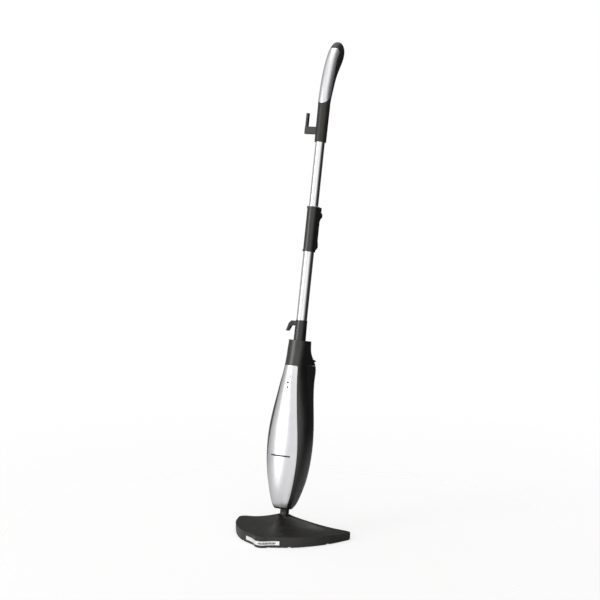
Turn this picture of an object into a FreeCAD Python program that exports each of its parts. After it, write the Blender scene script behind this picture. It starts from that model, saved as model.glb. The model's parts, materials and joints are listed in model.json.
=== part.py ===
import FreeCAD, Part
import math
import os

from FreeCAD import Vector

# Steam mop, millimetres. +Z is up, the tip of the floor head points to -Y, and the origin is on
# the floor below the neck pivot. Body and pole pieces are drawn upright in the pole frame: Z runs
# along the pole from the height of the pivot, and Y = 0 is the pole's axis. upright() then leans them.

# Stance
LEAN = 12.0                 # backward lean of the parked pole, degrees
PIVOT_Z = 38.0              # height of the neck pivot above the floor
PIVOT_Y = 14.0              # the pivot sits this far behind the pole's axis
GAP = 0.3                   # clearance between pieces that move apart
WALL = 2.5                  # moulded wall
SEAM_TOLERANCE = 0.02       # for closing a shell from two lofts that share an edge

# Floor head
HEAD_TIP = 117.0            # from the pivot forward to the tip
HEAD_BACK = 66.0            # from the pivot back to the rear edge
HEAD_HALF_WIDTH = 152.0
TIP_RADIUS = 21.0
CORNER_RADIUS = 18.0
FLANK_BULGE = 22.0          # outward sagitta of each flank
BASE_TOP = 5.0
RIM_TOP = 19.5              # height of the rim abreast of the pivot
RIM_FALL = 3.6              # slope of the rim, down from the tip to the rear edge, degrees
APEX_TOP = 52.5
HEAD_LEVELS = [             # share of the plan size, height, flank bulge as a share of the rim's
    (1.00, RIM_TOP, 1.0),
    (0.86, 21.8, 0.65),
    (0.68, 26.4, 0.1),
    (0.50, 32.8, -0.4),
    (0.34, 40.0, -0.6),
    (0.22, 46.2, -0.6),
]
SMALLEST_RADIUS = 7.0       # of the rounded corners at the upper levels
APEX_HALF_X = 14.2
APEX_HALF_Y = 12.0
SLOT_HALF = 8.9             # half-width of the slot that the neck folds into
SLOT_FLARE = 22.0           # its half-width at the rear
SLOT_BACK = 46.0
SLOT_FLOOR = 25.0
DECK_TOP = 8.0
PLATE_SCALE = 0.60          # steam plate outline, as a share of the head's
PLATE_THICK = 5.0
TRIM_BOTTOM = 6.4
TRIM_HEIGHT = 9.4
TRIM_REACH = 27.0           # how far the trim runs back from the tip on its longer side
TRIM_RIGHT = 43.0           # and across on its shorter side
TRIM_PROUD = 0.8
TRIM_SINK = 0.8
TICKS = 13                  # plain ticks of the comb let into the trim
TICK_PITCH = 3.2
TICK_WIDTH = 1.8
COMB_TURN = 17.5            # the comb follows the flank beside the tip, degrees
COMB_START = (-1.5, -116.0)
PAD_RADIUS = 9.0
PAD_CENTRES = [(0.0, -88.0), (108.0, 42.0), (-108.0, 42.0)]
NOTCHES = [(22.0, -106.0, 28.0), (62.0, -80.0, 38.0), (124.0, -9.0, 58.0)]  # place and turn
SCREWS = [(0.0, 54.0), (84.0, -8.0), (-84.0, -8.0)]
ELBOW_X = 17.5              # drop of the steam elbow beside the neck

# Neck joint
EYE_RADIUS = 8.0
CHEEK_THICK = 2.5
PIN_HALF = 12.6
PIN_RADIUS = 3.0
PIN_PLAY = 0.05
ROLL_Z = 18.0               # roll axis above the pivot, along the pole
TONGUE_THICK = 5.8
TONGUE_RADIUS = 8.2
ANKLE_HALF_X = 8.5
ANKLE_HALF_Y = 6.6

# Body and tank: height, half-width, front depth, rear depth, flare of the rear half
BODY_STATIONS = [
    (29.0, 19.0, 15.0, 25.0, 0.0),
    (40.0, 26.0, 21.0, 35.0, 0.0),
    (62.0, 33.0, 28.0, 45.5, 0.0),
    (98.0, 43.0, 33.2, 52.0, 0.0),
    (140.0, 50.5, 36.0, 51.5, 0.0),
    (190.0, 53.8, 37.0, 48.0, 0.0),
    (246.0, 49.5, 36.8, 46.5, 0.0),
    (301.0, 39.5, 35.5, 48.0, 0.05),
    (338.0, 32.3, 33.5, 52.0, 0.16),
    (372.0, 26.8, 30.5, 56.0, 0.27),
    (386.0, 26.0, 28.6, 48.5, 0.14),
    (400.0, 25.6, 26.7, 36.5, 0.03),
    (415.0, 25.2, 25.5, 30.0, 0.0),
    (431.0, 25.0, 24.8, 27.5, 0.0),
]
FRONT_POWER = 2.2           # superellipse exponent of the front half of a section
BACK_POWER = 3.0
SECTION_POINTS = 24
SEAM = [(-30.0, 20.0), (-1.0, 31.0), (-14.0, 97.0), (-21.7, 157.0), (-24.3, 230.0), (-24.3, 313.0),
        (-20.5, 384.0), (-17.0, 440.0)]
PANEL_HALF = [(18.5, 33.0), (26.5, 57.0), (34.8, 97.0), (39.2, 140.0), (39.2, 180.0), (31.5, 250.0),
              (23.0, 313.0), (17.2, 370.0)]
PANEL_PROUD = 0.5
PANEL_THICK = 2.0
BODY_TOP = 431.0
BODY_BOTTOM = 29.0

# Water tank and its bay
BAY_FRONT = 5.0
BAY_BOTTOM = 76.0
BAY_TOP = 374.0
TANK_GAP = 0.6
TANK_WALL = 2.2
NIPPLE_Z = 96.0
NIPPLE_RADIUS = 5.0
CAP_Y = 30.0
CAP_RADIUS = 12.0
CAP_DEPTH = 9.0
LATCH_Y = 20.0
LATCH_Z = 388.0

# Pole
COLLAR_TOP = 479.0
COLLAR_RADIUS = 14.6
LOWER_RADIUS = 12.7
LOWER_TOP = 690.0
LOWER_BOTTOM = 405.0
UPPER_RADIUS = 11.1
UPPER_BOTTOM = 602.0
TUBE_WALL = 1.0
COUPLER_BOTTOM = 643.0
COUPLER_TOP = 751.0
COUPLER_RADIUS = 14.2
LEVER_Y = 24.0
LEVER_Z = 732.0
BUTTON_Z = 455.0

# Handle: height, backward offset of the centre, half-width, half-depth
SOCKET_BOTTOM = 906.0
HANDLE_STATIONS = [
    (906.0, 0.0, 14.0, 14.0),
    (993.0, 0.0, 14.7, 14.7),
    (1013.0, 1.0, 15.0, 15.4),
    (1035.0, 4.5, 15.5, 17.4),
    (1070.0, 12.2, 16.6, 20.0),
    (1113.0, 29.5, 17.6, 25.5),
    (1135.0, 36.0, 15.5, 21.5),
    (1146.0, 37.5, 11.0, 15.0),
    (1152.0, 37.5, 4.5, 6.0),
]
HANDLE_SPLIT = [(-16.0, 997.0), (-9.0, 1004.5), (-2.5, 1012.5), (1.0, 1023.0), (2.0, 1037.0), (6.0, 1069.0),
                (15.0, 1111.0), (22.0, 1125.0)]
SILVER_TOP = 1135.0
SOCKET_TOP = 995.0
HOOK_OUT = 44.0             # reach of both cord hooks from the pole's axis

# Small pieces
LENS_HEIGHTS = (318.0, 329.0)
LENS_RADIUS = 1.6
ICON_Z = 344.0
BADGE_Z = 155.0
BADGE_HALF = 26.0
LATCH_HALF = 16.0
LATCH_TIP = 61.0
CAP_NECK = 8.0
GLAND_RADIUS = 6.0
GLAND_LENGTH = 12.5
GLAND_START = (-14.0, 17.0, 400.0)
GLAND_AXIS = (-0.77, 0.64, 0.0)
BAY_SCREWS = ((22.0, 120.0), (-22.0, 120.0))
HOOK_Z = 471.0
HOOK_HALF = 4.5
BUTTON_RADIUS = 2.7
BLOCK_HALF = 9.5
BLOCK_BACK = 17.0
EAR_INNER = 7.0
LEVER_HALF = 6.7
LEVER_BOSS = 8.6
BUSH_RADIUS = 12.4
ARM_BOTTOM = 924.0
ARM_TOP = 942.0
FINGER_TOP = 974.0
HANDLE_SCREWS = ((19.0, 1025.0), (51.5, 1103.0))


def upright(shape):
    """Move a shape from the pole frame to its leaning place on the floor head."""
    moved = shape.copy()
    moved.translate(Vector(0, -PIVOT_Y, 0))
    moved.rotate(Vector(0, 0, 0), Vector(1, 0, 0), -LEAN)
    moved.translate(Vector(0, 0, PIVOT_Z))
    return moved


def save(name, shape):
    if len(shape.Solids) == 1:
        shape = shape.Solids[0]
    print(name, shape.ShapeType, "valid" if shape.isValid() else "INVALID", round(shape.Volume / 1000, 2))
    shape.exportStep(os.path.join("parts", name + ".step"))


def closed_curve(points):
    curve = Part.BSplineCurve()
    curve.interpolate(Points=points, PeriodicFlag=True)
    return Part.Wire([curve.toShape()])


def open_curve(points):
    curve = Part.BSplineCurve()
    curve.interpolate(points)
    return curve.toShape()


def loft(wires, ruled=False):
    return Part.makeLoft(wires, True, ruled)


def box(x0, x1, y0, y1, z0, z1):
    return Part.makeBox(x1 - x0, y1 - y0, z1 - z0, Vector(x0, y0, z0))


def rod(radius, length, start, axis):
    return Part.makeCylinder(radius, length, Vector(*start), Vector(*axis))


def ring(radius, bore, length, start, axis):
    return rod(radius, length, start, axis).cut(rod(bore, length, start, axis))


def rounded_box(x0, x1, y0, y1, z0, z1, radius, axis="z"):
    """A box whose four edges along one axis are rounded."""
    body = box(x0, x1, y0, y1, z0, z1)
    along = {"x": Vector(1, 0, 0), "y": Vector(0, 1, 0), "z": Vector(0, 0, 1)}[axis]
    edges = [e for e in body.Edges if abs(e.tangentAt(e.FirstParameter).dot(along)) > 0.99]
    return body.makeFillet(radius, edges)


def pipe(points, bend, radius):
    """A round rod along straight runs joined by tangent arcs of one radius."""
    corners = [Vector(*p) for p in points]
    edges = []
    start = corners[0]
    for before, corner, after in zip(corners, corners[1:], corners[2:]):
        enter = (corner - before).normalize()
        leave = (after - corner).normalize()
        turn = enter.getAngle(leave)
        cut_back = bend * math.tan(turn / 2)
        first = corner - enter * cut_back
        last = corner + leave * cut_back
        inward = (leave - enter).normalize()
        middle = corner + inward * (bend / math.cos(turn / 2) - bend)
        edges.append(Part.makeLine(start, first))
        edges.append(Part.Arc(first, middle, last).toShape())
        start = last
    edges.append(Part.makeLine(start, corners[-1]))
    path = Part.Wire(edges)
    circle = Part.Wire([Part.makeCircle(radius, corners[0], corners[1] - corners[0])])
    return path.makePipeShell([circle], True, False)


def side_prism(edges, half_width):
    """Extrude a closed outline that lies in the plane X = 0 to both sides."""
    face = Part.Face(Part.Wire(edges))
    face.translate(Vector(-half_width, 0, 0))
    return face.extrude(Vector(2 * half_width, 0, 0))


def side_plate(corners, base_z, half_width):
    """Plate across the object from its side view: points (y, height above base_z)."""
    points = [Vector(0, y, base_z + z) for y, z in corners]
    edges = [Part.makeLine(a, b) for a, b in zip(points, points[1:] + points[:1])]
    return side_prism(edges, half_width)


# ---------------------------------------------------------------- floor head

def head_outline(z, scale=1.0, inset=0.0, bulge=1.0, fall=0.0):
    """The head's rounded triangle, scaled about the pivot, with a closed smooth edge."""
    slope = math.tan(math.radians(fall))
    tip_r = max(TIP_RADIUS * scale, SMALLEST_RADIUS) - inset
    corner_r = max(CORNER_RADIUS * scale, SMALLEST_RADIUS) - inset
    tip_y = -(HEAD_TIP * scale) + tip_r + inset
    corner_x = HEAD_HALF_WIDTH * scale - corner_r - inset
    corner_y = HEAD_BACK * scale - corner_r - inset
    sag = FLANK_BULGE * scale * bulge
    right = []
    for angle in (-62.0, -38.0):
        turn = math.radians(angle)
        right.append((tip_r * math.cos(turn), tip_y + tip_r * math.sin(turn)))
    low = right[-1]
    corner = []
    for angle in (-30.0, 5.0, 45.0, 85.0):
        turn = math.radians(angle)
        corner.append((corner_x + corner_r * math.cos(turn), corner_y + corner_r * math.sin(turn)))
    high = corner[0]
    span = math.hypot(high[0] - low[0], high[1] - low[1])
    normal = ((high[1] - low[1]) / span, -(high[0] - low[0]) / span)
    for share in (0.25, 0.5, 0.75):
        lift = 4 * share * (1 - share) * sag
        right.append((low[0] + (high[0] - low[0]) * share + normal[0] * lift,
                      low[1] + (high[1] - low[1]) * share + normal[1] * lift))
    right += corner
    back_y = corner_y + corner_r
    half = [(0.0, tip_y - tip_r)] + right + [(corner_x / 2, back_y + 1.2 * scale)]
    left = [(-x, y) for x, y in reversed(half[1:])]
    points = half + [(0.0, back_y + 1.8 * scale)] + left
    return closed_curve([Vector(x, y, z - y * slope) for x, y in points])


def apex_outline(z, half_x, half_y):
    """Rounded rectangle at the top of the head, with the same number of points as the triangle."""
    points = []
    steps = 20
    power = 4.0
    for i in range(steps):
        turn = -math.pi / 2 + 2 * math.pi * i / steps
        cx = math.cos(turn)
        cy = math.sin(turn)
        reach = (abs(cx / half_x) ** power + abs(cy / half_y) ** power) ** (-1 / power)
        points.append(Vector(reach * cx, reach * cy, z))
    return closed_curve(points)


def side_and_end(form, upper):
    """The faces of a loft without one of its flat ends: the curved side, and the end kept."""
    flats = [face for face in form.Faces if isinstance(face.Surface, Part.Plane)]
    flats.sort(key=lambda face: face.CenterOfMass.z)
    curved = [face for face in form.Faces if not isinstance(face.Surface, Part.Plane)]
    return curved + [flats[-1] if upper else flats[0]]


def head_solid(inset, drop):
    """The closed outer form of the head, or its inside when inset and dropped."""
    lower = head_outline(BASE_TOP, inset=inset)
    rim = head_outline(RIM_TOP - drop, inset=inset, fall=RIM_FALL)
    wall = loft([lower, rim], ruled=True)
    levels = [head_outline(z - drop, scale, inset, bulge, RIM_FALL * scale * scale)
              for scale, z, bulge in HEAD_LEVELS]
    levels.append(apex_outline(APEX_TOP - drop, APEX_HALF_X - inset, APEX_HALF_Y - inset))
    shell = Part.Shell(side_and_end(wall, False) + side_and_end(loft(levels), True))
    shell.sewShape(SEAM_TOLERANCE)
    form = Part.Solid(shell)
    if form.Volume < 0:
        form.reverse()
    return form


def neck_slot():
    """Slot over the pivot that widens to the rear, where the neck folds down and swings."""
    front = -EYE_RADIUS - 0.8
    throat = EYE_RADIUS
    right = [Vector(SLOT_HALF, front, 0), Vector(SLOT_HALF, throat, 0), Vector(SLOT_FLARE, SLOT_BACK, 0)]
    left = [Vector(-v.x, v.y, 0) for v in reversed(right)]
    corners = right + left
    face = Part.Face(Part.makePolygon(corners + corners[:1]))
    slot = face.extrude(Vector(0, 0, APEX_TOP))
    slot.translate(Vector(0, 0, SLOT_FLOOR))
    return slot


def head_cover():
    cover = head_solid(0.0, 0.0).cut(head_solid(WALL, WALL)).cut(neck_slot())
    return cover.cut(trim_band(-3.0, TRIM_SINK + 0.1, 0.15))


def trim_band(outer_inset, inner_inset, play):
    """A band round the tip, between two offsets of the rim outline."""
    outer = Part.Face(head_outline(TRIM_BOTTOM - play, inset=outer_inset))
    inner = Part.Face(head_outline(TRIM_BOTTOM - play, inset=inner_inset))
    band = outer.cut(inner).extrude(Vector(0, 0, TRIM_HEIGHT + 2 * play))
    reach = box(-60 - play, TRIM_RIGHT + play, -HEAD_TIP - 10, -HEAD_TIP + TRIM_REACH + play, 0, 30)
    return band.common(reach)


def head_trim():
    return trim_band(-TRIM_PROUD, TRIM_SINK, 0.0).cut(trim_inlay())


def trim_inlay():
    """Comb of plain dark ticks let into the bright trim's right half."""
    length = (TICKS - 1) * TICK_PITCH + TICK_WIDTH
    comb = box(0, length, -8, 8, 2.2, 2.8)
    for i in range(TICKS):
        start = i * TICK_PITCH
        comb = comb.fuse(box(start, start + TICK_WIDTH, -8, 8, 2.2, 6.8))
    comb.rotate(Vector(0, 0, 0), Vector(0, 0, 1), COMB_TURN)
    comb.translate(Vector(COMB_START[0], COMB_START[1], TRIM_BOTTOM))
    return comb.common(trim_band(-TRIM_PROUD - 0.15, -TRIM_PROUD + 0.5, 0.0))


def head_base():
    ring_part = Part.Face(head_outline(0.0, inset=0.6)).extrude(Vector(0, 0, BASE_TOP))
    deck = Part.Face(head_outline(BASE_TOP, inset=WALL + 0.4))
    deck = deck.extrude(Vector(0, 0, DECK_TOP - BASE_TOP))
    base = ring_part.fuse(deck)
    window = Part.Face(head_outline(0.0, PLATE_SCALE, inset=-0.25)).extrude(Vector(0, 0, PLATE_THICK))
    base = base.cut(window)
    for x, y in PAD_CENTRES:
        base = base.cut(rod(PAD_RADIUS + 0.1, 2.0, (x, y, 0), (0, 0, 1)))
    for side in (-1, 1):
        for x, y, turn in NOTCHES:
            notch = box(-3.5, 3.5, -5, 5, 0, 1.8)
            notch.rotate(Vector(0, 0, 0), Vector(0, 0, 1), side * turn)
            notch.translate(Vector(side * x, y, 0))
            base = base.cut(notch)
    for x, y in SCREWS:
        base = base.cut(rod(3.6, BASE_TOP - 2, (x, y, 0), (0, 0, 1)))
        base = base.cut(rod(1.6, DECK_TOP, (x, y, 0), (0, 0, 1)))
    base = base.cut(rod(3.2, DECK_TOP, (ELBOW_X, 0, 0), (0, 0, 1)))
    return base


def steam_plate():
    plate = Part.Face(head_outline(0.0, PLATE_SCALE)).extrude(Vector(0, 0, PLATE_THICK - 0.2))
    for i in range(7):
        plate = plate.cut(rod(1.5, PLATE_THICK, ((i - 3) * 16.0, 22.0, 0), (0, 0, 1)))
    for i in range(3):
        plate = plate.cut(rod(1.5, PLATE_THICK, ((i - 1) * 16.0, -30.0, 0), (0, 0, 1)))
    return plate


def foot_pad(x, y):
    return rod(PAD_RADIUS, 1.9, (x, y, 0), (0, 0, 1))


def base_screw(x, y):
    head = rod(3.2, 1.8, (x, y, BASE_TOP - 3.9), (0, 0, 1))
    shank = rod(1.5, 12.0, (x, y, BASE_TOP - 2.3), (0, 0, 1))
    slot = box(x - 3.5, x + 3.5, y - 0.4, y + 0.4, 0, BASE_TOP - 3.2)
    return head.fuse(shank).cut(slot)


def pivot_bracket():
    bracket = box(-12, 12, -20, 20, DECK_TOP, DECK_TOP + 3)
    for x0 in (SLOT_HALF + 0.1, -SLOT_HALF - 0.1 - CHEEK_THICK):
        cheek = box(x0, x0 + CHEEK_THICK, -8, 8, DECK_TOP, PIVOT_Z)
        eye = rod(8, CHEEK_THICK, (x0, 0, PIVOT_Z), (1, 0, 0))
        bracket = bracket.fuse(cheek.fuse(eye))
    bracket = bracket.cut(rod(PIN_RADIUS, 60, (-30, 0, PIVOT_Z), (1, 0, 0)))
    return bracket.removeSplitter()


def pitch_pin():
    return ring(PIN_RADIUS, 1.6, 2 * PIN_HALF, (-PIN_HALF, 0, PIVOT_Z), (1, 0, 0))


def steam_elbow():
    bend = 4.5
    points = [(PIN_HALF, 0, PIVOT_Z), (ELBOW_X, 0, PIVOT_Z), (ELBOW_X, 0, PLATE_THICK)]
    return pipe(points, bend, 3.0).cut(pipe(points, bend, 1.6))


def detent_housing():
    return ring(6.5, 4.1, 17.0, (0, 0, DECK_TOP + 3), (0, 0, 1))


def detent_spring():
    return ring(3.6, 2.6, 9.0, (0, 0, DECK_TOP + 3.2), (0, 0, 1))


def detent_pin():
    """Round-nosed pin that clicks into the notch under the neck's eye."""
    nose_top = PIVOT_Z - EYE_RADIUS - GAP
    shank = rod(4.0, nose_top - 3.0 - 20.6, (0, 0, 20.6), (0, 0, 1))
    nose = Part.makeCone(4.0, 1.5, 3.0, Vector(0, 0, nose_top - 3.0), Vector(0, 0, 1))
    return shank.fuse(nose).removeSplitter()


# ---------------------------------------------------------------- neck joint, in the pole frame

def neck_yoke():
    eye = rod(EYE_RADIUS, 2 * SLOT_HALF - 1.0, (-SLOT_HALF + 0.5, PIVOT_Y, 0), (1, 0, 0))
    stem = box(-TONGUE_RADIUS, TONGUE_RADIUS, PIVOT_Y - TONGUE_THICK / 2, PIVOT_Y + TONGUE_THICK / 2,
               0, ROLL_Z)
    disc = rod(TONGUE_RADIUS, TONGUE_THICK, (0, PIVOT_Y - TONGUE_THICK / 2, ROLL_Z), (0, 1, 0))
    yoke = eye.fuse(stem).fuse(disc)
    yoke = yoke.cut(rod(PIN_RADIUS + PIN_PLAY, 40, (-20, PIVOT_Y, 0), (1, 0, 0)))
    yoke = yoke.cut(rod(PIN_RADIUS + PIN_PLAY, 40, (0, PIVOT_Y - 20, ROLL_Z), (0, 1, 0)))
    yoke = yoke.cut(rod(1.5, ROLL_Z - 2, (0, PIVOT_Y, 1), (0, 0, 1)))
    notch = Part.makeCone(2.2, 5.0, 4.5, Vector(0, PIVOT_Y, 0), Vector(0, 0, 1))
    notch.rotate(Vector(0, PIVOT_Y, 0), Vector(1, 0, 0), 180)
    notch.translate(Vector(0, 0, -EYE_RADIUS + 3.2))
    notch.rotate(Vector(0, PIVOT_Y, 0), Vector(1, 0, 0), LEAN)
    return yoke.cut(notch).removeSplitter()


def ankle_clevis():
    y0 = PIVOT_Y - ANKLE_HALF_Y
    y1 = PIVOT_Y + ANKLE_HALF_Y
    block = box(-ANKLE_HALF_X, ANKLE_HALF_X, y0, y1, ROLL_Z, BODY_BOTTOM + 13)
    eye = rod(ANKLE_HALF_X, y1 - y0, (0, y0, ROLL_Z), (0, 1, 0))
    ankle = block.fuse(eye)
    half = TONGUE_THICK / 2 + 0.2
    slot = box(-30, 30, PIVOT_Y - half, PIVOT_Y + half, 0, ROLL_Z + TONGUE_RADIUS + 1.0)
    ankle = ankle.cut(slot)
    return ankle.cut(rod(PIN_RADIUS, 60, (0, y0 - 10, ROLL_Z), (0, 1, 0))).removeSplitter()


def roll_pin():
    length = 2 * ANKLE_HALF_Y + 1.0
    return rod(PIN_RADIUS, length, (0, PIVOT_Y - length / 2, ROLL_Z), (0, 1, 0))


# ---------------------------------------------------------------- body, in the pole frame

def body_section(z, half, front, back, flare):
    """Superellipse section: round front, squarer back that can flare sideways."""
    points = []
    for i in range(SECTION_POINTS):
        turn = 2 * math.pi * i / SECTION_POINTS
        cx = math.cos(turn)
        cy = math.sin(turn)
        power = FRONT_POWER if cy < 0 else BACK_POWER
        x = half * math.copysign(abs(cx) ** (2 / power), cx)
        y = (front if cy < 0 else back) * math.copysign(abs(cy) ** (2 / power), cy)
        share = max(0.0, y / back)
        widen = 1 + flare * share * share * (3 - 2 * share)
        points.append(Vector(x * widen, y, z))
    return closed_curve(points)


def body_loft(offset, trim=0.0):
    """The whole form of body and tank, offset outwards, its ends trimmed."""
    wires = []
    for z, half, front, back, flare in BODY_STATIONS:
        if z == BODY_BOTTOM:
            z += trim
        if z == BODY_TOP:
            z -= trim
        wires.append(body_section(z, half + offset, front + offset, back + offset, flare))
    return loft(wires)


def seam_cut(shift):
    """Everything in front of the seam between the front and rear shells."""
    line = open_curve([Vector(0, y + shift, z) for y, z in SEAM])
    low = Vector(0, SEAM[0][0] + shift, SEAM[0][1])
    high = Vector(0, SEAM[-1][0] + shift, SEAM[-1][1])
    edges = [line, Part.makeLine(high, Vector(0, -90, high.z)),
             Part.makeLine(Vector(0, -90, high.z), Vector(0, -90, low.z)),
             Part.makeLine(Vector(0, -90, low.z), low)]
    return side_prism(edges, 90)


def panel_prism(grow):
    """Prism along Y with the panel's front-view outline."""
    right = [Vector(x + grow, 0, z) for x, z in PANEL_HALF]
    right[0].z -= grow
    right[-1].z += grow
    left = [Vector(-p.x, 0, p.z) for p in reversed(right)]
    edges = [open_curve(right), Part.makeLine(right[-1], left[0]), open_curve(left),
             Part.makeLine(left[-1], right[0])]
    face = Part.Face(Part.Wire(edges))
    prism = face.extrude(Vector(0, -60, 0))
    top = [e for e in prism.Edges if abs(e.tangentAt(e.FirstParameter).y) > 0.99
           and e.BoundBox.ZMin > PANEL_HALF[-1][1] - 5]
    return prism.makeFillet(4.0, top)


def bay_box():
    return box(-90, 90, BAY_FRONT, 120, BAY_BOTTOM, BAY_TOP)


def body_hollow():
    keep_out = box(-90, 90, BAY_FRONT - WALL, 120, BAY_BOTTOM - WALL, BAY_TOP + WALL)
    return body_loft(-WALL, WALL).cut(keep_out)


def shells():
    """The front and rear shells, both cut from one hollow body."""
    skin = body_loft(0.0).cut(bay_box()).cut(body_hollow())
    skin = skin.cut(rod(LOWER_RADIUS + 0.1, 60, (0, 0, BODY_TOP - 30), (0, 0, 1)))
    ankle = box(-ANKLE_HALF_X, ANKLE_HALF_X, PIVOT_Y - ANKLE_HALF_Y, PIVOT_Y + ANKLE_HALF_Y, 0, 60)
    skin = skin.cut(ankle)
    front = skin.common(seam_cut(0.0))
    pocket = panel_prism(0.15).cut(body_loft(-PANEL_THICK + PANEL_PROUD - 0.1, 0.5))
    front = front.cut(pocket)
    for z in LENS_HEIGHTS:
        front = front.cut(rod(LENS_RADIUS + 0.1, 60, (0, -60, z), (0, 1, 0)))
    rear = skin.cut(seam_cut(0.12))
    half = LATCH_HALF + 0.5
    rear = rear.cut(box(-half, half, 24, 70, BAY_TOP - 1, LATCH_Z + 6.5))
    rear = rear.cut(rod(NIPPLE_RADIUS + 0.3, 30, (0, -15, NIPPLE_Z), (0, 1, 0)))
    rear = rear.cut(rod(GLAND_RADIUS, 40, GLAND_START, GLAND_AXIS))
    for x, z in BAY_SCREWS:
        rear = rear.cut(rod(3.1, 1.2, (x, BAY_FRONT - 1.2, z), (0, 1, 0)))
        rear = rear.cut(rod(1.6, 6, (x, BAY_FRONT - 5, z), (0, 1, 0)))
    return front, rear


def front_panel():
    panel = body_loft(PANEL_PROUD).common(panel_prism(0.0)).cut(body_loft(PANEL_PROUD - PANEL_THICK, 0.2))
    for z in LENS_HEIGHTS:
        panel = panel.cut(rod(LENS_RADIUS + 0.05, 60, (0, -60, z), (0, 1, 0)))
    return panel.cut(panel_icon()).cut(name_badge())


def on_panel(prism, relief):
    """A thin raised piece that follows the panel's face."""
    return prism.common(body_loft(PANEL_PROUD + relief)).cut(body_loft(PANEL_PROUD - 0.4))


def panel_icon():
    """Plain ring above the indicator lamps."""
    return on_panel(ring(5.4, 4.5, 60, (0, -70, ICON_Z), (0, 1, 0)), 0.12)


def name_badge():
    """Blank slim bar across the widest part of the panel."""
    bar = rounded_box(-BADGE_HALF, BADGE_HALF, -70, -10, BADGE_Z - 1.6, BADGE_Z + 1.6, 1.5, "y")
    return on_panel(bar, 0.2)


def indicator_lens(z):
    lens = rod(LENS_RADIUS, 15.4, (0, -35.2, z), (0, 1, 0))
    dome = Part.makeSphere(LENS_RADIUS, Vector(0, -35.2, z))
    return lens.fuse(dome).removeSplitter()


def circuit_board():
    return box(-14, 14, -19.6, -18, 300, 346)


def boiler():
    block = rounded_box(-26, 26, -22, -2, 104, 184, 6.0)
    return block.cut(heater_element())


def heater_element():
    points = [(-14, -12, 198), (-14, -12, 122), (14, -12, 122), (14, -12, 198)]
    return pipe(points, 9.0, 3.5)


def thermostat():
    return rod(8.0, 6.0, (0, -12, 184), (0, 0, 1))


def pump():
    motor = rounded_box(-16, 16, -23, -1, 215, 262, 5.0)
    nozzle = rod(5.0, 8.0, (0, -12, 262), (0, 0, 1))
    return motor.fuse(nozzle)


def water_hose():
    port = NIPPLE_Z - 4.0
    points = [(0, -7.5, port), (0, -13, port), (30.5, -13, port), (30.5, -13, 240), (16, -13, 240)]
    return pipe(points, 5.0, 3.0)


def pump_hose():
    return pipe([(-16, -12, 240), (-34, -12, 240), (-34, -12, 144), (-26, -12, 144)], 5.0, 3.0)


def steam_hose():
    points = [(-14, -12, 104), (-14, -12, 68), (0, PIVOT_Y, 62), (0, PIVOT_Y, BODY_BOTTOM + 13)]
    return pipe(points, 6.0, 3.0)


def valve_seat():
    cup = rod(8.0, 10.0, (0, BAY_FRONT - WALL - 10.0, NIPPLE_Z), (0, 1, 0))
    return cup.cut(rod(NIPPLE_RADIUS + 0.3, 8.5, (0, BAY_FRONT - WALL - 8.0, NIPPLE_Z), (0, 1, 0)))


def cord_gland():
    """Inlet bush for the mains lead, on the hidden rear left of the body's neck."""
    return ring(GLAND_RADIUS, 3.6, GLAND_LENGTH, GLAND_START, GLAND_AXIS)


def bay_screw(x, z):
    head_part = rod(3.0, 1.1, (x, BAY_FRONT - 1.2, z), (0, 1, 0))
    shank = rod(1.5, 5.0, (x, BAY_FRONT - 6.1, z), (0, 1, 0))
    slot = box(x - 3.2, x + 3.2, BAY_FRONT - 0.7, BAY_FRONT, z - 0.4, z + 0.4)
    return head_part.fuse(shank).cut(slot)


# ---------------------------------------------------------------- water tank, in the pole frame

def water_tank():
    front = BAY_FRONT + TANK_GAP
    bottom = BAY_BOTTOM + TANK_GAP
    top = BAY_TOP - TANK_GAP
    outer = body_loft(0.0).common(box(-90, 90, front, 120, bottom, top))
    inner = body_loft(-TANK_WALL).common(
        box(-90, 90, front + TANK_WALL, 120, bottom + TANK_WALL, top - TANK_WALL))
    cup_floor = top - CAP_DEPTH
    cup_radius = CAP_RADIUS + 1.5
    cup = rod(cup_radius + TANK_WALL, CAP_DEPTH + TANK_WALL, (0, CAP_Y, cup_floor - TANK_WALL), (0, 0, 1))
    tank = outer.cut(inner).fuse(cup)
    tank = tank.cut(rod(cup_radius, CAP_DEPTH + 5, (0, CAP_Y, cup_floor), (0, 0, 1)))
    tank = tank.cut(rod(CAP_NECK + GAP, 20, (0, CAP_Y, cup_floor - 10), (0, 0, 1)))
    return tank.cut(rod(NIPPLE_RADIUS - 2.0, 20, (0, front - 5, NIPPLE_Z), (0, 1, 0))).removeSplitter()


def tank_nipple():
    """Outlet spigot that plugs into the valve seat as the tank slides home."""
    root_y = BAY_FRONT + TANK_GAP
    return ring(NIPPLE_RADIUS, NIPPLE_RADIUS - 2.0, 9.0, (0, root_y - 9.0, NIPPLE_Z), (0, 1, 0))


def tank_cap():
    seat = BAY_TOP - TANK_GAP - CAP_DEPTH + GAP
    knob = rod(CAP_RADIUS, 4.5, (0, CAP_Y, seat), (0, 0, 1))
    grip = rounded_box(-9, 9, CAP_Y - 2, CAP_Y + 2, seat + 4.5, seat + 7.5, 1.5)
    plug = rod(CAP_NECK, 8.0, (0, CAP_Y, seat - 8.0), (0, 0, 1))
    return knob.fuse(grip).fuse(plug)


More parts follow.
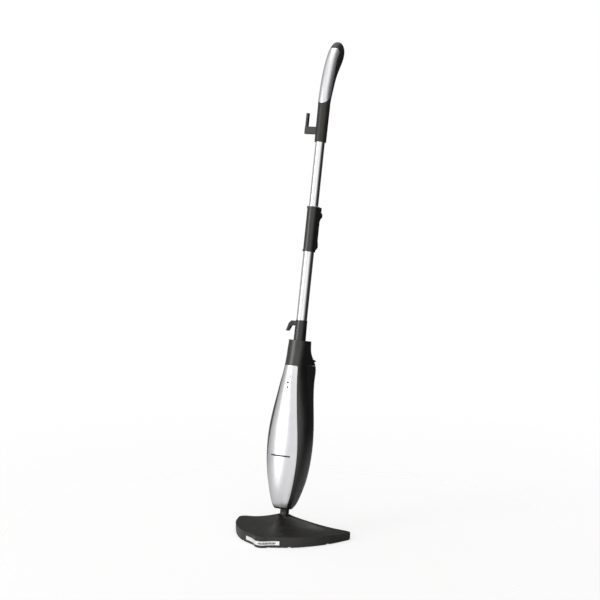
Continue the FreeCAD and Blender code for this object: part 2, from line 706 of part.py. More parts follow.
def tank_latch():
    """Finger tab over the tank's top edge, hinged inside the body's neck."""
    root = LATCH_Y - 3
    arm = side_plate([(root, -2.5), (40, -2.5), (LATCH_TIP, -5.5), (LATCH_TIP, -2.0), (44, 1.5),
                      (root, 2.5)], LATCH_Z, LATCH_HALF)
    barrel = rod(3.6, 2 * LATCH_HALF, (-LATCH_HALF, LATCH_Y, LATCH_Z), (1, 0, 0))
    nib = box(-6, 6, 46.5, 49.5, BAY_TOP + 0.6, LATCH_Z - 3.2)
    latch = arm.fuse(barrel).fuse(nib)
    return latch.cut(rod(1.5 + PIN_PLAY, 80, (-40, LATCH_Y, LATCH_Z), (1, 0, 0))).removeSplitter()


def latch_pin():
    return rod(1.5, 2 * (LATCH_HALF + 4.0), (-LATCH_HALF - 4.0, LATCH_Y, LATCH_Z), (1, 0, 0))


# ---------------------------------------------------------------- pole, in the pole frame

def tube_socket():
    return ring(15.4, LOWER_RADIUS + 0.05, BODY_TOP - WALL - 400, (0, 0, 400), (0, 0, 1))


def pole_collar():
    height = COLLAR_TOP - BODY_TOP
    cone = Part.makeCone(COLLAR_RADIUS, COLLAR_RADIUS - 0.8, height, Vector(0, 0, BODY_TOP))
    boss = rod(6.0, 15.5, (0, 0, HOOK_Z), (-1, 0, 0))
    collar = cone.fuse(boss)
    collar = collar.cut(rod(LOWER_RADIUS + 0.05, height + 20, (0, 0, BODY_TOP - 10), (0, 0, 1)))
    collar = collar.cut(rod(BUTTON_RADIUS + 0.1, 30, (0, -30, BUTTON_Z), (0, 1, 0)))
    return collar.cut(rod(2.0, 40, (0, 0, HOOK_Z), (-1, 0, 0))).removeSplitter()


def snap_button():
    button = rod(BUTTON_RADIUS, 6.5, (0, -15.3, BUTTON_Z), (0, 1, 0))
    flange = rod(BUTTON_RADIUS + 1.2, 1.2, (0, -10.8, BUTTON_Z), (0, 1, 0))
    return button.fuse(flange).removeSplitter()


def lower_tube():
    length = LOWER_TOP - LOWER_BOTTOM
    tube = ring(LOWER_RADIUS, LOWER_RADIUS - TUBE_WALL, length, (0, 0, LOWER_BOTTOM), (0, 0, 1))
    tube = tube.cut(rod(BUTTON_RADIUS + 0.1, 30, (0, -30, BUTTON_Z), (0, 1, 0)))
    return tube.cut(rod(2.0, 40, (0, 0, HOOK_Z), (-1, 0, 0)))


def hook_pivot():
    return rod(1.95, 10.0, (-11.8, 0, HOOK_Z), (-1, 0, 0))


def lower_hook():
    """Swivelling cord hook: it hangs down for storage and flips up to drop the cord."""
    face_x = -15.8
    corners = [Vector(face_x, 0, HOOK_Z + 5.5), Vector(-25.5, 0, HOOK_Z + 5.5), Vector(-32, 0, HOOK_Z - 1),
               Vector(-38, 0, HOOK_Z - 20), Vector(-32.5, 0, HOOK_Z - 20), Vector(-25.5, 0, HOOK_Z - 6.5),
               Vector(face_x, 0, HOOK_Z - 5.5)]
    face = Part.Face(Part.makePolygon(corners + corners[:1]))
    face.translate(Vector(0, -HOOK_HALF, 0))
    hook = face.extrude(Vector(0, 2 * HOOK_HALF, 0))
    bends = [e for e in hook.Edges if abs(e.tangentAt(e.FirstParameter).y) > 0.99
             and -33 < e.CenterOfMass.x < -20]
    hook = hook.makeFillet(4.0, bends)
    return hook.cut(rod(2.0, 6.5, (face_x + 0.5, 0, HOOK_Z), (-1, 0, 0)))


def coupler():
    length = COUPLER_TOP - COUPLER_BOTTOM
    body = rod(COUPLER_RADIUS, length, (0, 0, COUPLER_BOTTOM), (0, 0, 1))
    for z in (COUPLER_BOTTOM, COUPLER_TOP - 5.0):
        body = body.fuse(rod(COUPLER_RADIUS + 1.1, 5.0, (0, 0, z), (0, 0, 1)))
    block_foot = COUPLER_BOTTOM + 5
    block = rounded_box(-BLOCK_HALF, BLOCK_HALF, 0, BLOCK_BACK, block_foot, COUPLER_TOP, 3.0, "z")
    body = body.fuse(block)
    for side in (-1, 1):
        x0 = EAR_INNER if side > 0 else -BLOCK_HALF
        ear = box(x0, x0 + BLOCK_HALF - EAR_INNER, 8, LEVER_Y, LEVER_Z - 7, COUPLER_TOP)
        eye = rod(7.0, BLOCK_HALF - EAR_INNER, (x0, LEVER_Y, LEVER_Z), (1, 0, 0))
        body = body.fuse(ear).fuse(eye)
    cam_room = rod(LEVER_BOSS + 0.5, 2 * EAR_INNER, (-EAR_INNER, LEVER_Y, LEVER_Z), (1, 0, 0))
    body = body.cut(cam_room)
    foot = COUPLER_BOTTOM - 10
    body = body.cut(rod(LOWER_RADIUS + 0.05, LOWER_TOP - foot, (0, 0, foot), (0, 0, 1)))
    body = body.cut(rod(BUSH_RADIUS + 0.05, 80, (0, 0, LOWER_TOP), (0, 0, 1)))
    return body.cut(rod(2.0, 40, (-20, LEVER_Y, LEVER_Z), (1, 0, 0))).removeSplitter()


def clamp_bush():
    length = COUPLER_TOP - LOWER_TOP
    bush = ring(BUSH_RADIUS, UPPER_RADIUS + 0.05, length, (0, 0, LOWER_TOP + 1), (0, 0, 1))
    slit = box(-1, 1, 0, 20, LOWER_TOP + 10, COUPLER_TOP + 10)
    return bush.cut(slit)


def clamp_lever():
    """Cam lever that squeezes the bush; its free end swings out and up."""
    outer = LEVER_Y + 1.5
    inner = BLOCK_BACK + GAP
    end = COUPLER_BOTTOM + 6.0 - LEVER_Z
    arm = side_plate([(inner, -4), (inner, end + 4), (inner + 4.5, end), (outer + 4.0, end + 7),
                      (outer + 3.0, end + 14), (outer, end + 24), (outer, -14),
                      (LEVER_Y + LEVER_BOSS - 0.4, -3), (LEVER_Y, 0)], LEVER_Z, LEVER_HALF)
    boss = rod(LEVER_BOSS, 2 * LEVER_HALF, (-LEVER_HALF, LEVER_Y, LEVER_Z), (1, 0, 0))
    lever = arm.fuse(boss)
    return lever.cut(rod(2.0 + PIN_PLAY, 40, (-20, LEVER_Y, LEVER_Z), (1, 0, 0))).removeSplitter()


def lever_pin():
    return rod(2.0, 2 * BLOCK_HALF + 1.0, (-BLOCK_HALF - 0.5, LEVER_Y, LEVER_Z), (1, 0, 0))


def upper_tube():
    length = SOCKET_TOP + 8 - UPPER_BOTTOM
    return ring(UPPER_RADIUS, UPPER_RADIUS - TUBE_WALL, length, (0, 0, UPPER_BOTTOM), (0, 0, 1))


def tube_guide():
    """Bush on the upper tube's foot that runs inside the lower tube."""
    collar = ring(LOWER_RADIUS - TUBE_WALL - 0.06, UPPER_RADIUS - TUBE_WALL - 1.5, 4.0,
                  (0, 0, UPPER_BOTTOM - 4.0), (0, 0, 1))
    stub = ring(UPPER_RADIUS - TUBE_WALL, UPPER_RADIUS - TUBE_WALL - 1.5, 16.0,
                (0, 0, UPPER_BOTTOM), (0, 0, 1))
    return collar.fuse(stub).removeSplitter()


# ---------------------------------------------------------------- handle, in the pole frame

def handle_section(z, centre, half, depth):
    points = []
    steps = 20
    for i in range(steps):
        turn = 2 * math.pi * i / steps
        points.append(Vector(half * math.cos(turn), centre + depth * math.sin(turn), z))
    return closed_curve(points)


def handle_form(inset):
    """The handle's outside with its socket, or its hollow above the socket when inset."""
    rings = [handle_section(z, c, a - inset, d - inset) for z, c, a, d in HANDLE_STATIONS]
    if inset > 0:
        return loft(rings[1:-1])
    return loft(rings[:2], ruled=True).fuse(loft(rings[1:])).removeSplitter()


def handle_split():
    """Region of the bright front shell, in front of a line that curves up from its rounded foot."""
    line = open_curve([Vector(0, y, z) for y, z in HANDLE_SPLIT])
    start = Vector(0, HANDLE_SPLIT[0][0], HANDLE_SPLIT[0][1])
    end = Vector(0, HANDLE_SPLIT[-1][0], HANDLE_SPLIT[-1][1])
    crest = Vector(0, end.y - 2, SILVER_TOP)
    front_high = Vector(0, -60, SILVER_TOP)
    front_low = Vector(0, -60, start.z)
    edges = [line, Part.makeLine(end, crest), Part.makeLine(crest, front_high),
             Part.makeLine(front_high, front_low), Part.makeLine(front_low, start)]
    return side_prism(edges, 60)


def handle_body():
    body = handle_form(0.0).cut(handle_form(WALL)).cut(handle_split())
    arm = rounded_box(-HOOK_OUT, -6, -HOOK_HALF, HOOK_HALF, ARM_BOTTOM, ARM_TOP, 1.5, "x")
    inner = -HOOK_OUT + 6
    finger = rounded_box(-HOOK_OUT, inner, -HOOK_HALF, HOOK_HALF, ARM_BOTTOM, FINGER_TOP, 1.5, "z")
    body = body.fuse(arm).fuse(finger)
    foot = SOCKET_BOTTOM - 5
    body = body.cut(rod(UPPER_RADIUS + 0.03, SOCKET_TOP + 35 - foot, (0, 0, foot), (0, 0, 1)))
    for y, z in HANDLE_SCREWS:
        body = body.cut(rod(2.7, 30, (0, y - 2.5, z), (0, 1, 0)))
        body = body.cut(rod(1.6, 10, (0, y - 9, z), (0, 1, 0)))
    return body.removeSplitter()


def handle_shell():
    return handle_form(-0.25).common(handle_split()).cut(handle_form(2.0))


def handle_screw(y, z):
    head_part = rod(2.6, 1.6, (0, y - 2.5, z), (0, 1, 0))
    shank = rod(1.5, 10.0, (0, y - 12.4, z), (0, 1, 0))
    slot = box(-3, 3, y - 1.6, y, z - 0.4, z + 0.4)
    return head_part.fuse(shank).cut(slot)


# ---------------------------------------------------------------- all pieces

def main():
    os.makedirs("parts", exist_ok=True)
    save("head_cover", head_cover())
    save("head_trim", head_trim())
    save("head_base", head_base())
    save("steam_plate", steam_plate())
    for i, (x, y) in enumerate(PAD_CENTRES):
        save("foot_pad_%d" % (i + 1), foot_pad(x, y))
    for i, (x, y) in enumerate(SCREWS):
        save("base_screw_%d" % (i + 1), base_screw(x, y))
    save("pivot_bracket", pivot_bracket())
    save("pitch_pin", pitch_pin())
    save("steam_elbow", steam_elbow())
    save("detent_housing", detent_housing())
    save("detent_spring", detent_spring())
    save("detent_pin", detent_pin())
    save("neck_yoke", upright(neck_yoke()))
    save("ankle_clevis", upright(ankle_clevis()))
    save("roll_pin", upright(roll_pin()))
    front, rear = shells()
    save("front_shell", upright(front))
    save("rear_shell", upright(rear))
    save("trim_inlay", trim_inlay())
    pole_pieces = {
        "front_panel": front_panel, "panel_icon": panel_icon, "name_badge": name_badge,
        "circuit_board": circuit_board, "boiler": boiler, "heater_element": heater_element,
        "thermostat": thermostat, "pump": pump, "water_hose": water_hose, "pump_hose": pump_hose,
        "steam_hose": steam_hose, "valve_seat": valve_seat, "cord_gland": cord_gland,
        "water_tank": water_tank, "tank_nipple": tank_nipple, "tank_cap": tank_cap,
        "tank_latch": tank_latch, "latch_pin": latch_pin, "tube_socket": tube_socket,
        "pole_collar": pole_collar, "snap_button": snap_button, "lower_tube": lower_tube,
        "hook_pivot": hook_pivot, "lower_hook": lower_hook, "coupler": coupler,
        "clamp_bush": clamp_bush, "clamp_lever": clamp_lever, "lever_pin": lever_pin,
        "upper_tube": upper_tube, "tube_guide": tube_guide, "handle_body": handle_body,
        "handle_shell": handle_shell,
    }
    for name, make in pole_pieces.items():
        save(name, upright(make()))
    for name, z in zip(("power_lens", "ready_lens"), LENS_HEIGHTS):
        save(name, upright(indicator_lens(z)))
    for i, (x, z) in enumerate(BAY_SCREWS):
        save("bay_screw_%d" % (i + 1), upright(bay_screw(x, z)))
    for i, (y, z) in enumerate(HANDLE_SCREWS):
        save("handle_screw_%d" % (i + 1), upright(handle_screw(y, z)))


main()
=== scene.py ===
import json
import math

import bmesh
import bpy
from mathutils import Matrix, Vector


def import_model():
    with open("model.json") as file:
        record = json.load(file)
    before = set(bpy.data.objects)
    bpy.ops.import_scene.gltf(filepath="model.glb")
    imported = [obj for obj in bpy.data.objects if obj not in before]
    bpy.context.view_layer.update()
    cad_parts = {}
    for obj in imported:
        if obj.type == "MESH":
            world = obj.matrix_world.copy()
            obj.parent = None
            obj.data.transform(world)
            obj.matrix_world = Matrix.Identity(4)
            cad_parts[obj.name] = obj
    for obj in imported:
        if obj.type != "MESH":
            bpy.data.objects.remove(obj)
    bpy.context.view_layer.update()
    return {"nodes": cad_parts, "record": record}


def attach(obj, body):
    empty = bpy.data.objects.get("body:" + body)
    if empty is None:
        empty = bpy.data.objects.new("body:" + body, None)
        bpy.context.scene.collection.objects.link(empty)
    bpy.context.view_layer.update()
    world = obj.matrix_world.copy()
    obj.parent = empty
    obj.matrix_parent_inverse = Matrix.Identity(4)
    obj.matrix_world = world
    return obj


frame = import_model()

LEAN = math.radians(12.0)          # backward lean of the parked pole


# ---------------------------------------------------------------- node helpers

NOISE_ROUGHNESS = 0.55


class Tree:
    """A node tree, with short ways to add nodes and link them."""

    def __init__(self, tree):
        self.tree = tree
        self.tree.nodes.clear()

    def add(self, kind, inputs=None, **settings):
        node = self.tree.nodes.new(kind)
        for key, value in settings.items():
            setattr(node, key, value)
        for key, value in (inputs or {}).items():
            self.put(node.inputs[key], value)
        return node

    def put(self, socket, value):
        if isinstance(value, bpy.types.NodeSocket):
            self.tree.links.new(value, socket)
        else:
            socket.default_value = value

    def span(self, value, low, high, to_low, to_high, kind="LINEAR"):
        """The value's share of low to high, clamped and mapped to to_low to to_high."""
        made = self.add("ShaderNodeMapRange",
                        {"Value": value, "From Min": low, "From Max": high,
                         "To Min": to_low, "To Max": to_high}, interpolation_type=kind)
        return made.outputs[0]

    def maths(self, operation, a, b):
        return self.add("ShaderNodeMath", {0: a, 1: b}, operation=operation).outputs[0]


class Graph(Tree):
    """A material on one Principled shader, with the patterns that its surface is made from."""

    def __init__(self, name):
        self.material = bpy.data.materials.new(name)
        self.material.use_nodes = True
        super().__init__(self.material.node_tree)
        self.shader = self.add("ShaderNodeBsdfPrincipled")
        self.add("ShaderNodeOutputMaterial", {"Surface": self.shader.outputs[0]})

    def set(self, **values):
        """Sets the shader's sockets, each named with _ for a space."""
        for key, value in values.items():
            self.put(self.shader.inputs[key.replace("_", " ")], value)

    def place(self, scale=(1, 1, 1), turn=(0, 0, 0)):
        """The surface point in the object's own frame, turned and scaled."""
        point = self.add("ShaderNodeTexCoord").outputs["Object"]
        mapped = self.add("ShaderNodeMapping", {"Vector": point, "Rotation": turn, "Scale": scale})
        return mapped.outputs[0]

    def noise(self, where, scale, detail=3.0):
        made = self.add("ShaderNodeTexNoise", {"Vector": where, "Scale": scale,
                                               "Detail": detail, "Roughness": NOISE_ROUGHNESS})
        return made.outputs["Fac"]

    def cells(self, where, scale):
        return self.add("ShaderNodeTexVoronoi", {"Vector": where, "Scale": scale}).outputs

    def blend(self, factor, a, b):
        made = self.add("ShaderNodeMix", data_type="RGBA")
        self.put(made.inputs[0], factor)
        self.put(made.inputs[6], a)
        self.put(made.inputs[7], b)
        return made.outputs[2]

    def round_edges(self, radius):
        return self.add("ShaderNodeBevel", {"Radius": radius}, samples=4).outputs[0]

    def edge_wear_and_highlight_mask(self, rounded):
        """Near 1 on outer edges and 0 elsewhere; it marks where handling polishes a moulding and
        where a painted edge highlight goes.
        """
        straight = self.add("ShaderNodeNewGeometry").outputs["Normal"]
        along = self.add("ShaderNodeVectorMath", {0: rounded, 1: straight},
                         operation="DOT_PRODUCT").outputs["Value"]
        return self.span(along, 0.98, 0.80, 0.0, 1.0)

    def bump(self, height, depth, strength, under=None):
        """A normal raised by height, to depth in metres, over another normal if one is given."""
        node = self.add("ShaderNodeBump",
                        {"Height": height, "Distance": depth, "Strength": strength})
        if under is not None:
            self.put(node.inputs["Normal"], under)
        return node.outputs[0]


def rgb(r, g, b):
    return (r, g, b, 1.0)


# ------------------------------------------------------------------- materials
# Colours are linear, edge radii and bump depths are in metres, pattern scales are per metre.

EDGE_WEAR_HIGHLIGHT_LIFT = 2.2                    # how much lighter a plastic's edge is painted: part wear, part painted highlight
WEAR_HIGHLIGHT_COLOUR, WEAR_GLOSS = 0.35, 0.10      # what wear and a painted edge highlight add to colour, and what wear takes off roughness
SOFT_EDGE = 0.0006                 # radius of a lacquered or smoked piece's edges


def moulded(name, dark, light, rough, grain=2400.0, relief=0.25, edge=0.0005, coat=0.0):
    """Satin moulded plastic: spark-eroded grain, faint flow mottle, edges rubbed by handling and
    lightened with a painted highlight.
    """
    g = Graph(name)
    where = g.place()
    fine = g.noise(where, grain, 2.0)
    mottle = g.noise(where, 55.0, 4.0)
    rounded = g.round_edges(edge)
    wear_and_lit_edges = g.edge_wear_and_highlight_mask(rounded)
    body = g.blend(g.span(mottle, 0.35, 0.65, 0.0, 1.0), rgb(*dark), rgb(*light))
    # painted highlight: the edge colour is lifted partly for wear and partly to stand in for light
    # on the edges
    wear_and_sheen_lift = g.maths("MULTIPLY", wear_and_lit_edges, WEAR_HIGHLIGHT_COLOUR)
    edge_wear_highlight_colour = rgb(*[min(1.0, c * EDGE_WEAR_HIGHLIGHT_LIFT) for c in light])
    colour = g.blend(wear_and_sheen_lift, body, edge_wear_highlight_colour)
    base = g.span(mottle, 0.3, 0.7, rough - 0.05, rough + 0.06)
    grainy = g.maths("ADD", base, g.span(fine, 0.3, 0.7, -0.03, 0.03))
    final = g.maths("SUBTRACT", grainy, g.maths("MULTIPLY", wear_and_lit_edges, WEAR_GLOSS))
    normal = g.bump(fine, 0.00012, relief, rounded)
    g.set(Base_Color=colour, Roughness=final, Normal=normal,
          Specular_IOR_Level=0.5, Coat_Weight=coat, Coat_Roughness=0.26)
    return g.material


def lacquer(name, shade, rough, metallic=0.86):
    """Silver metallic lacquer: fine flakes under a clear coat, with slight orange peel."""
    g = Graph(name)
    where = g.place()
    flakes = g.cells(where, 3200.0)["Color"]
    split = g.add("ShaderNodeSeparateColor", {0: flakes}).outputs[0]
    peel = g.noise(where, 260.0, 2.0)
    cloud = g.noise(where, 14.0, 3.0)
    rounded = g.round_edges(SOFT_EDGE)
    low = rgb(*[c * 0.94 for c in shade])
    high = rgb(*shade)
    body = g.blend(g.span(cloud, 0.35, 0.65, 0.0, 1.0), low, high)
    glint = g.blend(g.span(split, 0.0, 1.0, 0.0, 0.16), body, rgb(1.0, 1.0, 1.0))
    base = g.span(split, 0.0, 1.0, rough - 0.05, rough + 0.05)
    final = g.maths("ADD", base, g.span(cloud, 0.3, 0.7, -0.02, 0.03))
    orange = g.bump(peel, 0.00010, 0.10, rounded)
    g.set(Base_Color=glint, Metallic=metallic, Roughness=final, Normal=orange,
          Coat_Weight=0.45, Coat_Roughness=0.07, Specular_IOR_Level=0.5)
    return g.material


def metal(name, shade, tarnish, rough, stretch=(1, 1, 1), grain=900.0, relief=0.06, turn=0.0,
          edge=0.0003):
    """Metal with fine working marks along one direction and a faint uneven film.

    An edge of 0 leaves the normal alone, which a drawn tube needs: it has no edges to round.
    """
    g = Graph(name)
    drawn = g.place(scale=stretch, turn=(turn, 0, 0))
    marks = g.noise(drawn, grain, 3.0)
    film = g.noise(g.place(), 35.0, 4.0)
    rounded = g.round_edges(edge) if edge else None
    colour = g.blend(g.span(film, 0.35, 0.75, 0.0, 0.5), rgb(*shade), rgb(*tarnish))
    base = g.span(marks, 0.3, 0.7, rough * 0.75, rough * 1.3)
    final = g.maths("ADD", base, g.span(film, 0.4, 0.7, 0.0, 0.04))
    normal = g.bump(marks, 0.00005, relief, rounded)
    g.set(Base_Color=colour, Metallic=1.0, Roughness=final, Normal=normal)
    return g.material


def smoked(name):
    """Dark smoked tank wall: glossy outside, with slow sink marks and faint scuffs."""
    g = Graph(name)
    where = g.place()
    waves = g.noise(where, 22.0, 2.0)
    scuffs = g.noise(g.place(scale=(1.0, 1.0, 0.15)), 700.0, 4.0)
    rounded = g.round_edges(SOFT_EDGE)
    body = g.blend(waves, rgb(0.010, 0.010, 0.011), rgb(0.020, 0.020, 0.022))
    rough = g.maths("ADD", g.span(scuffs, 0.45, 0.75, 0.14, 0.30),
                    g.span(waves, 0.3, 0.7, 0.0, 0.03))
    normal = g.bump(waves, 0.0008, 0.10, rounded)
    g.set(Base_Color=body, Roughness=rough, Normal=normal, Coat_Weight=0.3, Coat_Roughness=0.06)
    return g.material


def lens(name):
    """Tinted indicator lens with a shallow pattern of prisms."""
    g = Graph(name)
    facets = g.cells(g.place(), 1600.0)["Distance"]
    glow = g.blend(facets, rgb(0.006, 0.0015, 0.0012), rgb(0.002, 0.0010, 0.0010))
    g.set(Base_Color=glow, Roughness=g.span(facets, 0.0, 0.6, 0.30, 0.45),
          Normal=g.bump(facets, 0.0001, 0.3), Specular_IOR_Level=0.12)
    return g.material


def board(name):
    """Circuit board laminate: solder mask with copper runs under it."""
    g = Graph(name)
    runs = g.add("ShaderNodeTexBrick",
                 {"Vector": g.place(), "Scale": 260.0, "Mortar Size": 0.06,
                  "Color1": rgb(0.02, 0.14, 0.05), "Color2": rgb(0.02, 0.11, 0.04),
                  "Mortar": rgb(0.16, 0.22, 0.07)})
    weave = g.noise(g.place(), 1800.0, 2.0)
    g.set(Base_Color=runs.outputs["Color"], Roughness=g.span(weave, 0.3, 0.7, 0.28, 0.42),
          Normal=g.bump(runs.outputs["Fac"], 0.00006, 0.5))
    return g.material


BLACK = moulded("satin_black", (0.0060, 0.0055, 0.0052), (0.0095, 0.0088, 0.0083), 0.37,
                coat=0.5)
# its wide edge radius widens the painted rim highlight along with the rounding
HEAD_BLACK = moulded("head_black", (0.0110, 0.0101, 0.0095), (0.0165, 0.0153, 0.0144), 0.40,
                     grain=1900.0, relief=0.32, edge=0.0013)
SOFT_BLACK = moulded("soft_touch_black", (0.0150, 0.0139, 0.0130), (0.0205, 0.0190, 0.0178), 0.44,
                     grain=3000.0, relief=0.30)
SILVER = lacquer("silver_lacquer", (0.64, 0.64, 0.665), 0.31)
TUBE = metal("polished_tube", (0.90, 0.90, 0.91), (0.80, 0.80, 0.80), 0.085,
             stretch=(1.0, 1.0, 0.012), grain=900.0, relief=0.02, turn=LEAN, edge=0.0)
# painted light: a lighter, less metallic copy of the silver lacquer, so the head trim reads lit
# though its facets face the dark side of the surround
SILVER_TRIM_PAINTED_LIT = lacquer("silver_trim_painted_lit", (0.90, 0.90, 0.91), 0.30, metallic=0.35)
MATT_BLACK = moulded("matt_black", (0.0040, 0.0037, 0.0035), (0.0065, 0.0060, 0.0057), 0.55,
                     grain=2200.0, relief=0.30)
SMOKED = smoked("smoked_tank")
PRINT = moulded("dark_inlay", (0.010, 0.010, 0.011), (0.016, 0.016, 0.018), 0.70, grain=3600.0,
                relief=0.12, edge=0.0002)
RUBBER = moulded("soft_rubber", (0.016, 0.016, 0.016), (0.026, 0.026, 0.026), 0.78, grain=1500.0,
                 relief=0.5)
CAST = metal("cast_aluminium", (0.70, 0.70, 0.71), (0.48, 0.47, 0.45), 0.42, grain=1100.0,
             relief=0.5)
STEEL = metal("plated_steel", (0.66, 0.66, 0.68), (0.46, 0.45, 0.43), 0.24,
              stretch=(1.0, 1.0, 0.1), grain=1600.0, relief=0.15)
DARK_STEEL = metal("blackened_steel", (0.055, 0.053, 0.052), (0.030, 0.029, 0.028), 0.34,
                   stretch=(1.0, 1.0, 0.1), grain=1600.0, relief=0.10)
BRASS = metal("brass", (0.72, 0.52, 0.22), (0.45, 0.30, 0.12), 0.30, grain=1300.0,
              relief=0.2)
WHITE = moulded("natural_plastic", (0.66, 0.66, 0.63), (0.74, 0.74, 0.71), 0.42, relief=0.15)
LENS = lens("indicator_lens")
BOARD = board("circuit_laminate")

BY_SLOT = {
    "black_plastic": BLACK, "silver_lacquer": SILVER, "polished_tube": TUBE,
    "smoked_tank": SMOKED, "dark_print": PRINT, "rubber": RUBBER, "aluminium_cast": CAST,
    "steel": STEEL, "brass": BRASS, "white_plastic": WHITE, "lens": LENS, "board": BOARD,
}
BY_NODE = {                        # nodes whose finish differs from their slot's
    "head_cover": HEAD_BLACK, "head_base": HEAD_BLACK, "handle_body": SOFT_BLACK,
    "ankle_clevis": MATT_BLACK, "neck_yoke": MATT_BLACK, "lower_hook": MATT_BLACK,
    # the head trim takes the painted-lit copy of its silver lacquer
    "head_trim": SILVER_TRIM_PAINTED_LIT,
    "roll_pin": DARK_STEEL, "pitch_pin": DARK_STEEL, "lever_pin": DARK_STEEL,
}


def dress_nodes():
    """Gives every CAD node its material."""
    for part in frame["record"]["subparts"]:
        node = frame["nodes"][part["node"]]
        chosen = BY_NODE.get(part["node"], BY_SLOT[part["material_slot"]])
        for slot in node.material_slots:
            slot.material = chosen


dress_nodes()


# ------------------------------------------------------------------ lens bezels

LENSES = ("power_lens", "ready_lens")
BEZEL_IN, BEZEL_CREST, BEZEL_OUT = 0.00164, 0.0021, 0.0026      # radii
BEZEL_FRONT, BEZEL_BACK = 0.0012, 0.0020                        # below the lens's tip
BEZEL_CROWN, BEZEL_FALL = 0.00012, 0.0002        # crest above, and outer edge below, the front
BEZEL_STEPS = 40


def bezel(node_name):
    """Thin dark washer that seats an indicator lens on the front panel."""
    forward = Vector((0.0, -math.cos(LEAN), math.sin(LEAN)))
    upward = Vector((0.0, math.sin(LEAN), math.cos(LEAN)))
    across = Vector((1.0, 0.0, 0.0))
    points = [vertex.co for vertex in frame["nodes"][node_name].data.vertices]
    tip = max(points, key=lambda point: point.dot(forward))
    rings = [(BEZEL_IN, -BEZEL_BACK), (BEZEL_IN, -BEZEL_FRONT),
             (BEZEL_CREST, -BEZEL_FRONT + BEZEL_CROWN),
             (BEZEL_OUT, -BEZEL_FRONT - BEZEL_FALL), (BEZEL_OUT, -BEZEL_BACK)]
    mesh = bmesh.new()
    loops = []
    for radius, depth in rings:
        loop = []
        for i in range(BEZEL_STEPS):
            turn = math.tau * i / BEZEL_STEPS
            spoke = across * math.cos(turn) + upward * math.sin(turn)
            loop.append(mesh.verts.new(tip + forward * depth + spoke * radius))
        loops.append(loop)
    for a, b in zip(loops, loops[1:] + loops[:1]):
        for i in range(BEZEL_STEPS):
            j = (i + 1) % BEZEL_STEPS
            mesh.faces.new((a[i], a[j], b[j], b[i]))
    bmesh.ops.recalc_face_normals(mesh, faces=mesh.faces)
    data = bpy.data.meshes.new(node_name + "_bezel")
    mesh.to_mesh(data)
    mesh.free()
    data.materials.append(PRINT)
    made = bpy.data.objects.new(node_name + "_bezel", data)
    bpy.context.scene.collection.objects.link(made)
    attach(made, "body")


for lens_name in LENSES:
    bezel(lens_name)


# ---------------------------------------------------------- floor, light, camera

FLOOR_RADIUS, FLOOR_SIDES = 30, 96
FLOOR_DROP = 0.0004                # keeps the floor's face off the head's contact face
FLOOR_NEAR, FLOOR_FAR = 0.10, 1.8  # distance from the head where the floor begins and ends to fade
FLOOR_ALPHA = 0.34

# Surround brightness by compass angle, in degrees: 0 in front of the object, 90 to its right.
SURROUND = [
    (-180, 0.06), (-140, 0.10), (-118, 0.32), (-92, 0.50), (-84, 0.30), (-76, 0.60),
    (-60, 0.70), (-20, 0.78), (10, 0.96), (42, 1.12), (56, 0.78), (70, 0.50), (86, 0.12),
    (100, 0.030), (150, 0.025), (180, 0.06),
]
GREEN, BLUE = 0.995, 0.985         # the surround's slight warmth, against red
LIFT_FROM, LIFT_TO = 0.24, 0.46    # the upward share of a ray, between which it brightens
LIFT = 1.4                         # brightness above LIFT_TO, against 1 below LIFT_FROM

VIEW_AZIMUTH, VIEW_ELEVATION = math.radians(30.0), math.radians(9.5)
VIEW_REACH = 5.0
VIEW_ANGLE = math.radians(16.3)
VIEW_ACROSS, VIEW_UP = 0.039, 0.563       # aim point, from the origin across and up the view
SENSOR = 36.0                      # millimetres


def floor():
    """A pale floor that fades into the bright backdrop far from the object."""
    mesh = bpy.data.meshes.new("floor")
    turns = [math.tau * i / FLOOR_SIDES for i in range(FLOOR_SIDES)]
    points = [Vector((0.0, 0.0, 0.0))]
    points += [Vector((FLOOR_RADIUS * math.cos(turn), FLOOR_RADIUS * math.sin(turn), 0.0))
               for turn in turns]
    faces = [(0, 1 + i, 1 + (i + 1) % FLOOR_SIDES) for i in range(FLOOR_SIDES)]
    mesh.from_pydata(points, [], faces)
    made = bpy.data.objects.new("floor", mesh)
    made.location.z = -FLOOR_DROP
    bpy.context.scene.collection.objects.link(made)
    g = Graph("pale_floor")
    where = g.place()
    mottle = g.noise(where, 3.0, 3.0)
    g.set(Base_Color=g.blend(mottle, rgb(0.90, 0.90, 0.90), rgb(0.93, 0.93, 0.93)),
          Roughness=0.8, Specular_IOR_Level=0.1)
    far = g.add("ShaderNodeVectorMath", {0: where}, operation="LENGTH").outputs["Value"]
    g.set(Alpha=g.span(far, FLOOR_NEAR, FLOOR_FAR, FLOOR_ALPHA, 0.0, "SMOOTHERSTEP"))
    mesh.materials.append(g.material)


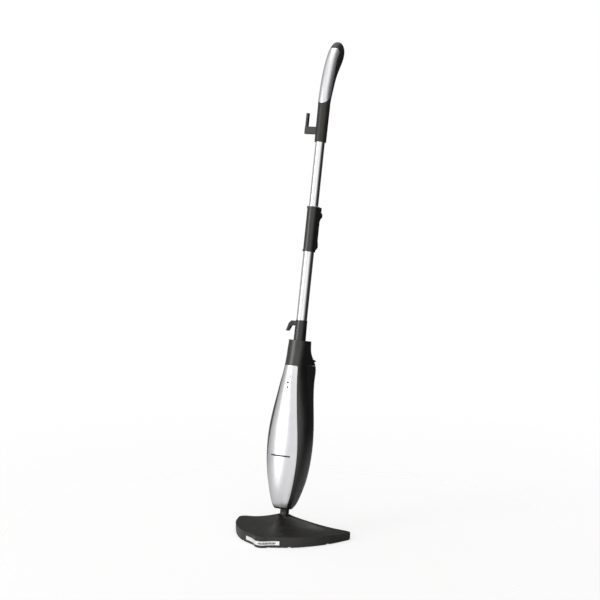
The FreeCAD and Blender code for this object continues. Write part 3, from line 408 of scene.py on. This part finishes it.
def world():
    """Studio surround that varies by compass angle and brightens overhead.

    The camera itself sees plain white behind the object.
    """
    made = bpy.data.worlds.new("studio")
    made.use_nodes = True
    w = Tree(made.node_tree)
    coordinates = w.add("ShaderNodeTexCoord").outputs["Generated"]
    ray = w.add("ShaderNodeSeparateXYZ", {0: coordinates}).outputs
    angle = w.maths("ARCTAN2", ray["X"], w.maths("MULTIPLY", ray["Y"], -1.0))
    ramp = w.add("ShaderNodeValToRGB", {0: w.span(angle, -math.pi, math.pi, 0.0, 1.0)})
    marks = ramp.color_ramp.elements
    while len(marks) > 1:
        marks.remove(marks[-1])
    for degrees, level in SURROUND:
        position = (degrees + 180.0) / 360.0
        mark = marks[0] if degrees == -180 else marks.new(position)
        mark.position = position
        mark.color = rgb(level, level * GREEN, level * BLUE)
    lift = w.span(ray["Z"], LIFT_FROM, LIFT_TO, 1.0, LIFT, "SMOOTHSTEP")
    around = w.add("ShaderNodeBackground", {"Color": ramp.outputs[0], "Strength": lift})
    seen = w.add("ShaderNodeBackground", {"Color": rgb(1.0, 1.0, 1.0)})
    camera_ray = w.add("ShaderNodeLightPath").outputs["Is Camera Ray"]
    mix = w.add("ShaderNodeMixShader", {0: camera_ray, 1: around.outputs[0], 2: seen.outputs[0]})
    w.add("ShaderNodeOutputWorld", {0: mix.outputs[0]})
    bpy.context.scene.world = made


def softbox(name, place, aim, width, height, power):
    """A rectangular lamp at place, turned to aim, that the camera doesn't see."""
    data = bpy.data.lights.new(name, "AREA")
    data.shape = "RECTANGLE"
    data.size = width
    data.size_y = height
    data.energy = power
    lamp = bpy.data.objects.new(name, data)
    lamp.location = place
    lamp.rotation_euler = (Vector(aim) - Vector(place)).to_track_quat("-Z", "Y").to_euler()
    lamp.visible_camera = False
    bpy.context.scene.collection.objects.link(lamp)


def camera():
    """Long lens from the front right, a little above the object's middle."""
    right = Vector((math.cos(VIEW_AZIMUTH), math.sin(VIEW_AZIMUTH), 0.0))
    back = Vector((math.sin(VIEW_AZIMUTH) * math.cos(VIEW_ELEVATION),
                   -math.cos(VIEW_AZIMUTH) * math.cos(VIEW_ELEVATION),
                   math.sin(VIEW_ELEVATION)))
    up = back.cross(right)
    target = right * VIEW_ACROSS + up * VIEW_UP
    data = bpy.data.cameras.new("camera")
    data.sensor_width = SENSOR
    data.lens = SENSOR / 2 / math.tan(VIEW_ANGLE / 2)
    data.clip_end = 200.0
    made = bpy.data.objects.new("camera", data)
    made.location = target + back * VIEW_REACH
    made.rotation_euler = (-back).to_track_quat("-Z", "Y").to_euler()
    bpy.context.scene.collection.objects.link(made)
    bpy.context.scene.camera = made


floor()
world()
softbox("key", place=(-1.62, -2.54, 1.15), aim=(0.0, 0.0, 0.5), width=1.2, height=1.9, power=30.0)
softbox("top", place=(-0.3, 0.7, 2.9), aim=(0.0, 0.1, 0.2), width=2.4, height=2.8, power=40.0)
camera()
bpy.context.scene.view_settings.view_transform = "Standard"
